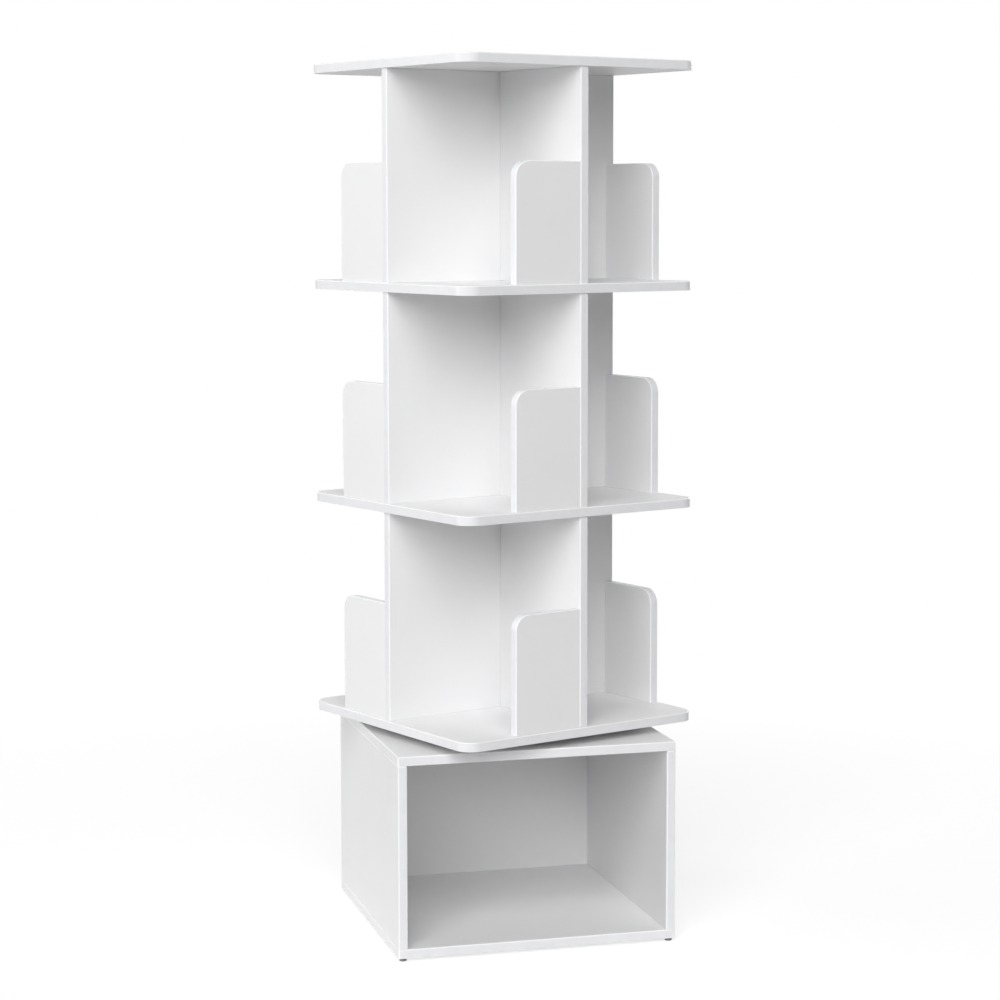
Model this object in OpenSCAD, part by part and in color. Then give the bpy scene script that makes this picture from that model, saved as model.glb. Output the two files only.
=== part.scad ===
// Revolving bookcase: a square shelf tower that turns on an open base cabinet.
// Millimetres, +Z up. The origin is on the floor, under the axis that the tower turns about.
// The cabinet opens towards -Y. Boards are white faced particleboard with banded edges.

/* [Boards] */
// Thickness of every board
board_t = 15; // [14:0.5:19]

/* [Shelf tower] */
// Side of the square shelves
shelf_side = 460; // [420:5:520]
// Corner radius of the shelves
shelf_corner_r = 28; // [12:1:45]
// Clear height of a tier
tier_h = 340; // [300:5:400]
// Inset of a partition's outer edge from the shelf's edge
partition_inset = 2.5; // [0.5:0.5:6]
// Setback of a stop's outer face from the partition's outer edge
stop_setback = 0.7; // [0:0.1:4]
// Width of a stop, from its partition to its free edge
stop_w = 125; // [90:5:150]
// Height of a stop
stop_h = 192; // [140:2:260]
// Radius of a stop's free upper corner
stop_corner_r = 25; // [8:1:45]
// Turn of the tower on the cabinet, in degrees
rest_turn = 20.25; // [0:0.25:90]

/* [Base cabinet] */
// Width of the cabinet
base_w = 460; // [430:2:520]
// Depth of the cabinet
base_d = 454; // [430:2:520]
// Height of the cabinet without its feet
base_h = 325; // [260:5:420]
// Diameter of a foot
foot_d = 12; // [10:0.5:18]
// Height of a foot
foot_h = 5; // [3:0.5:10]
// Chamfer round a foot's sole
foot_chamfer = 0.8; // [0.2:0.1:1.5]
// Distance from a foot's rim to the cabinet's edges
foot_inset = 2.5; // [2:0.5:12]
// Diameter of the pin on a foot
foot_pin_d = 4; // [3:0.5:5]
// Length of the pin on a foot
foot_pin_l = 9; // [6:0.5:11]

/* [Turntable] */
// Height of the turntable, between the cabinet and the tower
turntable_h = 14; // [12.5:0.5:18]
// Side of the square turntable plates
plate_side = 240; // [225:5:300]
// Corner radius of the turntable plates
plate_corner_r = 12; // [5:1:18]
// Thickness of the turntable plates
plate_t = 2; // [1.5:0.1:2.5]
// Distance of the plates' screw holes from their edges
plate_hole_inset = 20; // [14:1:22]
// Radius of the ball circle
race_r = 98; // [80:1:104]
// Width of a ball race
race_w = 16; // [12:1:18]
// Gap between the two ball races
race_gap = 2; // [1.6:0.1:2.6]
// Diameter of a bearing ball
ball_d = 6.35; // [5:0.05:7]
// Number of bearing balls
ball_count = 24; // [12:1:32]
// Width of the ball cage
cage_w = 13; // [10:0.5:18]
// Thickness of the ball cage
cage_t = 1.2; // [0.8:0.1:1.4]
// Radius of the dish in the middle of each plate
dish_r = 34; // [26:1:50]
// Outer diameter of the centre eyelet
eyelet_d = 20; // [14:1:30]
// Wall of the centre eyelet
eyelet_wall = 3; // [2:0.5:5]
// Width of the eyelet's two rims
eyelet_rim_w = 5; // [3:0.5:8]
// Thickness of the eyelet's two rims
eyelet_rim_t = 1.5; // [1:0.1:1.8]
// Thickness of the spacer ring between the plates
spacer_t = 3; // [2:0.2:3.4]
// Width of the spacer ring
spacer_w = 6; // [4:0.5:9]

/* [Dowels] */
// Diameter of a dowel
dowel_d = 8; // [6:0.5:9]
// Chamfer on a dowel's ends
dowel_chamfer = 1; // [0.5:0.1:1.5]
// Depth of a dowel in the face of a board
dowel_face_depth = 10; // [7:0.5:11]
// Depth of a dowel in the edge of a board
dowel_edge_depth = 18; // [12:0.5:22]
// Distance of a partition's inner dowel from the turning axis
inner_dowel_r = 60; // [45:1:80]
// Distance of a partition's outer dowel from its outer edge
outer_dowel_inset = 25; // [18:1:35]
// Distance of the crossing dowels from a tier's floor and ceiling
cross_dowel_inset = 80; // [60:2:120]
// Distance of a stop's dowels from its upper and lower edges
stop_dowel_inset = 45; // [35:1:60]
// Distance of a cabinet side's outer dowels from its front and rear edges
side_dowel_inset = 45; // [35:1:60]
// Distance of the cabinet back's upper dowels from the middle
back_dowel_x = 60; // [30:2:80]

/* [Cam fittings] */
// Diameter of a cam lock
cam_d = 15; // [12:0.5:16]
// Distance of a cam lock from the board's edge
cam_setback = 34; // [28:1:40]
// Board left under a cam lock
cam_floor = 2.5; // [1.5:0.1:3]
// Depth of a cam lock's face below the board's face
cam_recess = 0.3; // [0.1:0.1:0.6]
// Diameter of a cam bolt's shank
bolt_d = 7; // [6:0.1:7.5]
// Diameter of a cam bolt's neck
bolt_neck_d = 4; // [3:0.1:5]
// Length of a cam bolt's neck
bolt_neck_l = 4; // [3:0.5:6]
// Diameter of a cam bolt's head
bolt_head_d = 6.4; // [5.5:0.1:7]
// Length of a cam bolt's head
bolt_head_l = 3; // [2:0.5:4]
// Reach of a cam bolt past the middle of its cam lock
bolt_overrun = 1; // [0.5:0.1:2]
// Diameter of a cam bolt's thread
bolt_thread_d = 6; // [5:0.1:6.5]
// Length of a cam bolt's thread
bolt_thread_l = 10; // [8:0.5:11]
// Distance of a partition's cam bolt from its outer edge
bolt_inset = 62; // [48:1:80]
// Distance of the cabinet back's upper cam bolts from its side edges
back_bolt_inset = 90; // [75:1:110]
// Distance of the cabinet back's side cam bolts from its upper and lower edges
back_side_bolt_inset = 60; // [52:1:80]
// Diameter of a cover cap
cap_d = 17; // [16.5:0.5:20]
// Thickness of a cover cap
cap_t = 1.2; // [0.8:0.1:2]
// Chamfer round a cover cap
cap_chamfer = 0.4; // [0.2:0.1:0.6]
// Diameter of a cover cap's stem
cap_stem_d = 4; // [3:0.5:5]
// Length of a cover cap's stem
cap_stem_l = 2; // [1.5:0.1:2.4]

/* [Screws] */
// Length of a board screw
screw_l = 50; // [40:1:60]
// Diameter of a board screw's head
screw_head_d = 10; // [9:0.5:11]
// Height of a board screw's countersunk head
screw_head_t = 3.5; // [2.5:0.1:4]
// Depth of a board screw's head below the board's face
screw_recess = 0.3; // [0.1:0.1:0.8]
// Diameter of a board screw's shank
screw_shank_d = 7; // [6:0.1:7.5]
// Length of a board screw's head and shank together
screw_shank_l = 12; // [9:0.5:13]
// Diameter of a board screw's thread
screw_thread_d = 5; // [4:0.1:5.5]
// Width over corners of the six-sided sockets in the screw heads
socket_d = 4.6; // [3:0.1:5]
// Depth of the sockets in the screw heads
socket_l = 2; // [1:0.1:2.3]
// Distance of a stop's screws from its two ends
stop_screw_inset = 30; // [22:1:40]
// Distance of a cabinet side's screws from its front and rear edges
side_screw_inset = 75; // [60:1:100]
// Diameter of the screws that hold the turntable to the cabinet
machine_screw_d = 5; // [4:0.5:6]
// Diameter of those screws' heads
machine_head_d = 9.5; // [8:0.5:12]
// Height of those screws' heads
machine_head_t = 3; // [2.5:0.1:4]
// Diameter of the threaded bosses on the lower plate
boss_d = 10; // [9:0.5:13]
// Height of the threaded bosses on the lower plate
boss_h = 3; // [2:0.1:4]
// Diameter of the screws that hold the turntable to the tower
plate_screw_d = 4; // [3:0.5:5]
// Depth of those screws in the tower's deck
plate_screw_depth = 11; // [8:0.5:12]
// Diameter of those screws' heads
plate_head_d = 8; // [7:0.5:10]
// Height of those screws' heads
plate_head_t = 2.6; // [2.4:0.1:3]

/* [Fits] */
// Radial clearance of dowels, screws, bolts and cam locks in their holes
hole_fit = 0.05; // [0.02:0.01:0.1]
// Clearance at the blind ends of holes
end_fit = 0.5; // [0.2:0.1:0.9]
// Clearance of a cam bolt in its cam lock
cam_bolt_fit = 0.1; // [0.05:0.05:0.2]
// Clearance of the balls in their races and cage
ball_fit = 0.1; // [0.05:0.01:0.15]
// Radial clearance of the upper plate on the centre eyelet
spin_fit = 0.05; // [0.02:0.01:0.1]
// Clearance of the eyelet's rim and the spacer ring from the turning plate
rim_fit = 0.1; // [0.05:0.05:0.2]

/* [Hidden] */
$fn = 64;
TIERS = ["lower", "middle", "upper"];
// Tower arms: direction of a partition wing, and the side of it that has the cam locks
ARMS = [[0, 1], [90, -1], [180, -1], [270, 1]];
board_white = "white";
beech = "burlywood";
zinc = "silver";

// Levels of the cabinet and the turntable
base_floor_z = foot_h + board_t;
base_ceiling_z = foot_h + base_h - board_t;
base_top_z = foot_h + base_h;
side_h = base_ceiling_z - base_floor_z;
mid_z = base_top_z + turntable_h / 2;
plate_gap = turntable_h - 2 * plate_t;

// Cabinet plan
side_x = base_w / 2 - board_t / 2;
back_y = base_d / 2 - board_t / 2;
inner_w = base_w - 2 * board_t;

// Tower plan
half_t = board_t / 2;
wing_end = shelf_side / 2 - partition_inset;
stop_mid_r = wing_end - stop_setback - half_t;
bolt_r = wing_end - bolt_inset;
dowel_rs = [inner_dowel_r, wing_end - outer_dowel_inset];
last_shelf = len(TIERS);
pitch = board_t + tier_h;

// Fittings
cam_depth = board_t - cam_floor;
bolt_reach = cam_setback + bolt_overrun;
bolt_wide_r = max(bolt_d, bolt_head_d) / 2;
plate_hole_xy = plate_side / 2 - plate_hole_inset;
race_h = (plate_gap - race_gap) / 2;
dish_h = (turntable_h - spacer_t) / 2 - plate_t;
// Depth that cuts run past a face, so that no skin is left
over = 1;

// Underside of a shelf: 0 is the deck, and the last one is the top panel
function shelf_z(k) = base_top_z + turntable_h + k * pitch;
// Floor of a tier
function floor_z(t) = shelf_z(t) + board_t;
// Ends of the dowels at a shelf: blind in the deck and the top panel, right through the others
function dowel_low(k) = k == 0 ? floor_z(0) - dowel_face_depth : shelf_z(k) - dowel_edge_depth;
function dowel_high(k) = k == last_shelf ? shelf_z(k) + dowel_face_depth : floor_z(k) + dowel_edge_depth;

// Frames

// The tower's own frame, turned on the cabinet
module tower() {
    rotate([0, 0, rest_turn]) children();
}

// A wing of the cross of partitions: +X runs outwards along it
module wing(a) {
    rotate([0, 0, a]) children();
}

// The four screw places of the turntable plates
module plate_holes() {
    for (x = [-1, 1], y = [-1, 1])
        translate([x * plate_hole_xy, y * plate_hole_xy, 0]) children();
}

// A place on a face whose outward normal is +Y for s = 1, or -Y for s = -1: +Z runs outwards
module on_face(s) {
    rotate([-90 * s, 0, 0]) children();
}

// Shapes

module rounded_square(side, r) {
    square([side, side - 2 * r], center = true);
    square([side - 2 * r, side], center = true);
    for (x = [-1, 1], y = [-1, 1])
        translate([x * (side / 2 - r), y * (side / 2 - r)]) circle(r);
}

// A board between two corners
module board(low, high) {
    translate(low) cube(high - low);
}

// A dowel that stands on z = 0, or the hole for it
module dowel(l, hole = false) {
    r = dowel_d / 2;
    c = dowel_chamfer;
    if (hole)
        translate([0, 0, -end_fit]) cylinder(r = r + hole_fit, h = l + 2 * end_fit);
    else
        rotate_extrude() polygon([[0, 0], [r - c, 0], [r, c], [r, l - c], [r - c, l], [0, l]]);
}

// Outline of a cam bolt's end, from the board's face at z = 0 up to its head
function bolt_end(sign, face) = [
    [bolt_d / 2, face],
    [bolt_d / 2, face + sign * (bolt_reach - bolt_head_l - bolt_neck_l)],
    [bolt_neck_d / 2, face + sign * (bolt_reach - bolt_head_l - bolt_neck_l)],
    [bolt_neck_d / 2, face + sign * (bolt_reach - bolt_head_l)],
    [bolt_head_d / 2, face + sign * (bolt_reach - bolt_head_l)],
    [bolt_head_d / 2, face + sign * bolt_reach],
    [0, face + sign * bolt_reach]
];

// A cam bolt screwed into a face at z = 0, or the hole for it
module single_bolt(hole = false) {
    r = bolt_thread_d / 2;
    if (hole) {
        translate([0, 0, -bolt_thread_l - end_fit]) cylinder(r = r + hole_fit, h = bolt_thread_l + end_fit);
        cylinder(r = bolt_wide_r + hole_fit, h = bolt_reach + end_fit);
    } else
        rotate_extrude() polygon(concat([[0, -bolt_thread_l], [r, -bolt_thread_l], [r, 0]], bolt_end(1, 0)));
}

// A cam bolt with a head at each end, through a board that lies on z = 0, or the hole for it
module double_bolt(hole = false) {
    lower_end = bolt_end(-1, 0);
    count = len(lower_end);
    if (hole)
        translate([0, 0, -bolt_reach - end_fit])
            cylinder(r = bolt_wide_r + hole_fit, h = board_t + 2 * (bolt_reach + end_fit));
    else
        rotate_extrude()
            polygon(concat([for (i = [1:count]) lower_end[count - i]], bolt_end(1, board_t)));
}

// A cam lock in a face at z = 0, with its bolt coming along +Y for dir = 1 or -Y for dir = -1
module cam_lock(dir) {
    difference() {
        translate([0, 0, -cam_depth]) cylinder(d = cam_d, h = cam_depth - cam_recess);
        translate([0, 0, -half_t])
            rotate([-90 * dir, 0, 0])
                translate([0, 0, -bolt_overrun - end_fit])
                    cylinder(r = bolt_wide_r + cam_bolt_fit, h = cam_d);
        translate([0, 0, -cam_recess - cap_stem_l]) cylinder(r = cap_stem_d / 2 + hole_fit, h = cap_stem_l + over);
    }
}

module cam_pocket() {
    translate([0, 0, -cam_depth]) cylinder(r = cam_d / 2 + hole_fit, h = cam_depth + over);
}

// A cover cap on a face at z = 0
module cam_cap() {
    r = cap_d / 2;
    stem = -cam_recess - cap_stem_l + end_fit;
    rotate_extrude()
        polygon([
            [0, stem], [cap_stem_d / 2, stem], [cap_stem_d / 2, 0], [r, 0],
            [r, cap_t - cap_chamfer], [r - cap_chamfer, cap_t], [0, cap_t]
        ]);
}

// A board screw driven upwards through a face at z = 0, or the hole for it
module board_screw(hole = false) {
    g = hole ? hole_fit : 0;
    head_r = screw_head_d / 2 + g;
    shank_r = screw_shank_d / 2 + g;
    thread_r = screw_thread_d / 2 + g;
    low = hole ? -over : screw_recess;
    tip = screw_recess + screw_l + (hole ? end_fit : 0);
    difference() {
        rotate_extrude()
            polygon([
                [0, low], [head_r, low], [head_r, screw_recess], [shank_r, screw_recess + screw_head_t],
                [shank_r, screw_recess + screw_shank_l], [thread_r, screw_recess + screw_shank_l],
                [thread_r, tip - (hole ? 0 : thread_r)], [0, tip]
            ]);
        if (!hole)
            translate([0, 0, screw_recess - over]) cylinder(d = socket_d, h = socket_l + over, $fn = 6);
    }
}

// A round-headed screw whose head hangs below z = 0 and whose shank rises above it
module headed_screw(d, l, head_d, head_t) {
    difference() {
        union() {
            cylinder(d = d, h = l);
            translate([0, 0, -head_t]) cylinder(d = head_d, h = head_t);
        }
        translate([0, 0, -head_t - over]) cylinder(d = socket_d, h = socket_l + over, $fn = 6);
    }
}

// Fasteners in place: each draws the pieces, or with hole = true what is cut for them

// Dowels between one wing and a shelf
module wing_dowels(k, a, hole = false) {
    wing(a)
        for (r = dowel_rs)
            translate([r, 0, dowel_low(k)]) dowel(dowel_high(k) - dowel_low(k), hole);
}

// The cam bolt between one wing and a shelf
module wing_bolt(k, a, hole = false) {
    wing(a)
        translate([bolt_r, 0, 0]) {
            if (k == 0)
                translate([0, 0, floor_z(0)]) single_bolt(hole);
            else if (k == last_shelf)
                translate([0, 0, shelf_z(k)]) mirror([0, 0, 1]) single_bolt(hole);
            else
                translate([0, 0, shelf_z(k)]) double_bolt(hole);
        }
}

// The two cam locks of one wing in a tier, or their caps or pockets
module wing_cams(t, arm, piece) {
    s = arm[1];
    wing(arm[0])
        for (way = [-1, 1])
            translate([bolt_r, s * half_t, way < 0 ? floor_z(t) + cam_setback : shelf_z(t + 1) - cam_setback])
                on_face(s) {
                    if (piece == "lock")
                        cam_lock(-s * way);
                    else if (piece == "cap")
                        cam_cap();
                    else
                        cam_pocket();
                }
}

// Dowels that join the two short partitions through the long one
module tier_cross_dowels(t, hole = false) {
    l = board_t + 2 * dowel_edge_depth;
    for (z = [floor_z(t) + cross_dowel_inset, shelf_z(t + 1) - cross_dowel_inset])
        translate([0, -l / 2, z]) on_face(1) dowel(l, hole);
}

// Dowels between a stop and its partition
module wing_stop_dowels(t, a, hole = false) {
    wing(a)
        for (z = [stop_dowel_inset, stop_h - stop_dowel_inset])
            translate([stop_mid_r, dowel_face_depth - half_t, floor_z(t) + z])
                on_face(-1) dowel(dowel_face_depth + dowel_edge_depth, hole);
}

// Screws that come up through a shelf into a stop
module wing_stop_screws(t, a, hole = false) {
    wing(a)
        for (y = [stop_screw_inset, stop_w - stop_screw_inset])
            translate([stop_mid_r, -half_t - y, shelf_z(t)]) board_screw(hole);
}

// All that is cut in a wing of a tier's partitions
module wing_cuts(t, arm) {
    a = arm[0];
    wing_dowels(t, a, true);
    wing_dowels(t + 1, a, true);
    wing_bolt(t, a, true);
    wing_bolt(t + 1, a, true);
    wing_cams(t, arm, "pocket");
    wing_stop_dowels(t, a, true);
}

// All that is cut in a shelf, apart from the turntable's screws
module shelf_cuts(k) {
    for (arm = ARMS) {
        wing_dowels(k, arm[0], true);
        wing_bolt(k, arm[0], true);
        if (k < last_shelf)
            wing_stop_screws(k, arm[0], true);
    }
}

// Dowels of the cabinet: the sides and the back under the top, and the back between the sides
module cabinet_dowels(hole = false) {
    l = dowel_face_depth + dowel_edge_depth;
    y_out = base_d / 2 - side_dowel_inset;
    for (x = [-side_x, side_x], y = [-y_out, 0, y_out])
        translate([x, y, base_ceiling_z - dowel_edge_depth]) dowel(l, hole);
    for (x = [-back_dowel_x, back_dowel_x])
        translate([x, back_y, base_ceiling_z - dowel_edge_depth]) dowel(l, hole);
    for (s = [-1, 1])
        translate([s * (inner_w / 2 - dowel_edge_depth), back_y, (base_floor_z + base_ceiling_z) / 2])
            rotate([0, 90 * s, 0]) dowel(l, hole);
}

// Cam bolts of the cabinet's back, into the top and into the two sides
module cabinet_bolts(hole = false) {
    for (s = [-1, 1]) {
        translate([s * (inner_w / 2 - back_bolt_inset), back_y, base_ceiling_z])
            mirror([0, 0, 1]) single_bolt(hole);
        for (z = [base_floor_z + back_side_bolt_inset, base_ceiling_z - back_side_bolt_inset])
            translate([s * inner_w / 2, back_y, z]) rotate([0, -90 * s, 0]) single_bolt(hole);
    }
}

// Cam locks in the rear face of the cabinet's back
module cabinet_cams(piece) {
    for (s = [-1, 1]) {
        translate([s * (inner_w / 2 - back_bolt_inset), base_d / 2, base_ceiling_z - cam_setback])
            on_face(1) cabinet_cam(piece);
        for (z = [base_floor_z + back_side_bolt_inset, base_ceiling_z - back_side_bolt_inset])
            translate([s * (inner_w / 2 - cam_setback), base_d / 2, z])
                on_face(1) rotate([0, 0, 90 * s]) cabinet_cam(piece);
    }
}

module cabinet_cam(piece) {
    if (piece == "lock")
        cam_lock(-1);
    else if (piece == "cap")
        cam_cap();
    else
        cam_pocket();
}

// Screws that come up through the cabinet's bottom into its sides and back
module cabinet_screws(hole = false) {
    y_out = base_d / 2 - side_screw_inset;
    for (s = [-1, 1]) {
        for (y = [-y_out, y_out])
            translate([s * side_x, y, foot_h]) board_screw(hole);
        translate([s * (inner_w / 2 - back_bolt_inset), back_y, foot_h]) board_screw(hole);
    }
}

module foot_places() {
    inset = foot_inset + foot_d / 2;
    for (x = [-1, 1], y = [-1, 1])
        translate([x * (base_w / 2 - inset), y * (base_d / 2 - inset), 0]) children();
}

// Base cabinet

module base_top_panel() {
    color(board_white)
        difference() {
            board([-base_w / 2, -base_d / 2, base_ceiling_z], [base_w / 2, base_d / 2, base_top_z]);
            cabinet_dowels(true);
            cabinet_bolts(true);
            plate_holes()
                translate([0, 0, base_ceiling_z - over])
                    cylinder(r = machine_screw_d / 2 + hole_fit, h = board_t + 2 * over);
        }
}

module base_bottom_panel() {
    color(board_white)
        difference() {
            board([-base_w / 2, -base_d / 2, foot_h], [base_w / 2, base_d / 2, base_floor_z]);
            cabinet_screws(true);
            foot_places()
                cylinder(r = foot_pin_d / 2 + hole_fit, h = foot_h + foot_pin_l + end_fit);
        }
}

// A side of the cabinet: s = -1 is the left one
module base_side(s) {
    color(board_white)
        difference() {
            translate([s * side_x, 0, (base_floor_z + base_ceiling_z) / 2])
                cube([board_t, base_d, side_h], center = true);
            cabinet_dowels(true);
            cabinet_bolts(true);
            cabinet_screws(true);
        }
}

module base_back_panel() {
    color(board_white)
        difference() {
            translate([0, back_y, (base_floor_z + base_ceiling_z) / 2])
                cube([inner_w, board_t, side_h], center = true);
            cabinet_dowels(true);
            cabinet_bolts(true);
            cabinet_screws(true);
            cabinet_cams("pocket");
        }
}

// Feet with a moulded pin that is pressed into the cabinet's bottom
module feet() {
    r = foot_d / 2;
    pin_r = foot_pin_d / 2;
    color("dimgray")
        foot_places()
            rotate_extrude()
                polygon([
                    [0, 0], [r - foot_chamfer, 0], [r, foot_chamfer], [r, foot_h],
                    [pin_r, foot_h], [pin_r, foot_h + foot_pin_l], [0, foot_h + foot_pin_l]
                ]);
}

module base_dowels() {
    color(beech) cabinet_dowels();
}

module base_cam_bolts() {
    color(zinc) cabinet_bolts();
}

module base_cam_locks() {
    color(zinc) cabinet_cams("lock");
}

module base_cam_caps() {
    color(board_white) cabinet_cams("cap");
}

module base_screws() {
    color(zinc) cabinet_screws();
}

// Turntable: two pressed plates with ball races, held together by an eyelet in the middle

// A plate that lies on z = 0 with its race and dish upwards, before its screw holes
module turntable_plate(bore_r) {
    difference() {
        union() {
            linear_extrude(plate_t) rounded_square(plate_side, plate_corner_r);
            rotate_extrude()
                difference() {
                    translate([race_r - race_w / 2, 0]) square([race_w, plate_t + race_h]);
                    translate([race_r, turntable_h / 2]) circle(ball_d / 2 + ball_fit);
                }
            cylinder(r = dish_r + plate_t, h = dish_h + plate_t);
        }
        translate([0, 0, -over]) cylinder(r = dish_r, h = dish_h + over);
        translate([0, 0, -over]) cylinder(r = bore_r, h = turntable_h);
    }
}

module turntable_lower_plate() {
    color(zinc)
        translate([0, 0, base_top_z])
            difference() {
                union() {
                    turntable_plate(eyelet_d / 2 + hole_fit);
                    plate_holes() cylinder(d = boss_d, h = plate_t + boss_h);
                }
                plate_holes()
                    translate([0, 0, -over])
                        cylinder(r = machine_screw_d / 2 + hole_fit, h = plate_t + boss_h + 2 * over);
            }
}

module turntable_upper_plate() {
    color(zinc)
        tower()
            translate([0, 0, base_top_z + turntable_h])
                mirror([0, 0, 1])
                    difference() {
                        turntable_plate(eyelet_d / 2 + spin_fit);
                        plate_holes()
                            translate([0, 0, -over])
                                cylinder(r = plate_screw_d / 2 + hole_fit, h = plate_t + 2 * over);
                    }
}

// Tube with a rolled rim under the lower plate and another over the upper one
module turntable_eyelet() {
    r = eyelet_d / 2;
    low = base_top_z + dish_h - eyelet_rim_t;
    high = base_top_z + turntable_h - dish_h + rim_fit;
    color(zinc)
        difference() {
            union() {
                translate([0, 0, low]) cylinder(r = r, h = high + eyelet_rim_t - low);
                for (z = [low, high])
                    translate([0, 0, z]) cylinder(r = r + eyelet_rim_w, h = eyelet_rim_t);
            }
            translate([0, 0, low - over]) cylinder(r = r - eyelet_wall, h = turntable_h);
        }
}

// Ring round the eyelet that keeps the plates apart in the middle
module turntable_spacer() {
    r = eyelet_d / 2 + hole_fit;
    color("whitesmoke")
        translate([0, 0, mid_z - spacer_t / 2])
            difference() {
                cylinder(r = r + spacer_w, h = spacer_t - rim_fit);
                translate([0, 0, -over]) cylinder(r = r, h = spacer_t + 2 * over);
            }
}

module ball_places() {
    for (i = [0:ball_count - 1])
        rotate([0, 0, i * 360 / ball_count]) translate([race_r, 0, mid_z]) children();
}

module bearing_balls() {
    color("gainsboro") ball_places() sphere(d = ball_d);
}

module ball_cage() {
    color("ivory")
        difference() {
            translate([0, 0, mid_z - cage_t / 2])
                rotate_extrude() translate([race_r - cage_w / 2, 0]) square([cage_w, cage_t]);
            ball_places() cylinder(r = ball_d / 2 + ball_fit, h = cage_t + 2 * over, center = true);
        }
}

// Screws from the cabinet's ceiling into the bosses of the lower plate
module turntable_machine_screws() {
    color(zinc)
        plate_holes()
            translate([0, 0, base_ceiling_z])
                headed_screw(machine_screw_d, board_t + plate_t + boss_h, machine_head_d, machine_head_t);
}

// Screws through the upper plate into the tower's deck
module turntable_wood_screws() {
    color(zinc)
        tower()
            plate_holes()
                translate([0, 0, shelf_z(0) - plate_t])
                    headed_screw(plate_screw_d, plate_t + plate_screw_depth, plate_head_d, plate_head_t);
}

// Shelf tower

module shelf(k) {
    color(board_white)
        tower()
            difference() {
                translate([0, 0, shelf_z(k)]) linear_extrude(board_t) rounded_square(shelf_side, shelf_corner_r);
                shelf_cuts(k);
                if (k == 0)
                    plate_holes()
                        translate([0, 0, shelf_z(0) - over])
                            cylinder(r = plate_screw_d / 2 + hole_fit, h = plate_screw_depth + end_fit + over);
            }
}

// The partition that runs right across a tier
module long_partition(t) {
    color(board_white)
        tower()
            difference() {
                board([-wing_end, -half_t, floor_z(t)], [wing_end, half_t, shelf_z(t + 1)]);
                wing_cuts(t, ARMS[0]);
                wing_cuts(t, ARMS[2]);
                tier_cross_dowels(t, true);
            }
}

// A partition that runs from the long one to the shelf's edge
module short_partition(t, arm) {
    color(board_white)
        tower()
            difference() {
                wing(arm[0]) board([half_t, -half_t, floor_z(t)], [wing_end, half_t, shelf_z(t + 1)]);
                wing_cuts(t, arm);
                tier_cross_dowels(t, true);
            }
}

// A half-height stop: seen from outside it stands to the left of its partition
module stop(t, arm) {
    r = stop_corner_r;
    color(board_white)
        tower()
            difference() {
                wing(arm[0])
                    translate([stop_mid_r + half_t, -half_t, floor_z(t)])
                        rotate([90, 0, -90])
                            linear_extrude(board_t) {
                                square([stop_w - r, stop_h]);
                                square([stop_w, stop_h - r]);
                                translate([stop_w - r, stop_h - r]) circle(r);
                            }
                wing_stop_dowels(t, arm[0], true);
                wing_stop_screws(t, arm[0], true);
            }
}

module shelf_dowels() {
    color(beech)
        tower()
            for (k = [0:last_shelf], arm = ARMS)
                wing_dowels(k, arm[0]);
}

module cross_dowels() {
    color(beech)
        tower()
            for (t = [0:last_shelf - 1])
                tier_cross_dowels(t);
}

module stop_dowels() {
    color(beech)
        tower()
            for (t = [0:last_shelf - 1], arm = ARMS)
                wing_stop_dowels(t, arm[0]);
}

module stop_screws() {
    color(zinc)
        tower()
            for (t = [0:last_shelf - 1], arm = ARMS)
                wing_stop_screws(t, arm[0]);
}

module double_cam_bolts() {
    color(zinc)
        tower()
            for (k = [1:last_shelf - 1], arm = ARMS)
                wing_bolt(k, arm[0]);
}

module single_cam_bolts() {
    color(zinc)
        tower()
            for (k = [0, last_shelf], arm = ARMS)
                wing_bolt(k, arm[0]);
}

module partition_cams(piece) {
    tower()
        for (t = [0:last_shelf - 1], arm = ARMS)
            wing_cams(t, arm, piece);
}

module partition_cam_locks() {
    color(zinc) partition_cams("lock");
}

module partition_cam_caps() {
    color(board_white) partition_cams("cap");
}

base_top_panel();
base_bottom_panel();
base_side(-1);  // base_left_side
base_side(1);  // base_right_side
base_back_panel();
feet();
base_dowels();
base_cam_bolts();
base_cam_locks();
base_cam_caps();
base_screws();
turntable_lower_plate();
turntable_upper_plate();
turntable_eyelet();
turntable_spacer();
bearing_balls();
ball_cage();
turntable_machine_screws();
turntable_wood_screws();
shelf(0);  // tower_deck
shelf(1);  // lower_shelf
shelf(2);  // upper_shelf
shelf(3);  // top_panel
for (t = [0:last_shelf - 1]) {
    long_partition(t);
    short_partition(t, ARMS[3]);
    short_partition(t, ARMS[1]);
    stop(t, ARMS[3]);
    stop(t, ARMS[0]);
    stop(t, ARMS[1]);
    stop(t, ARMS[2]);
}
shelf_dowels();
cross_dowels();
stop_dowels();
stop_screws();
double_cam_bolts();
single_cam_bolts();
partition_cam_locks();
partition_cam_caps();
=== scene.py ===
"""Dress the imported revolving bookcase: banded boards, fittings, turntable and a plain studio."""

import logging
import math
from collections.abc import Sequence
from dataclasses import dataclass, field
from enum import Enum, IntEnum

import bmesh
import bpy
from mathutils import Matrix, Vector


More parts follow.
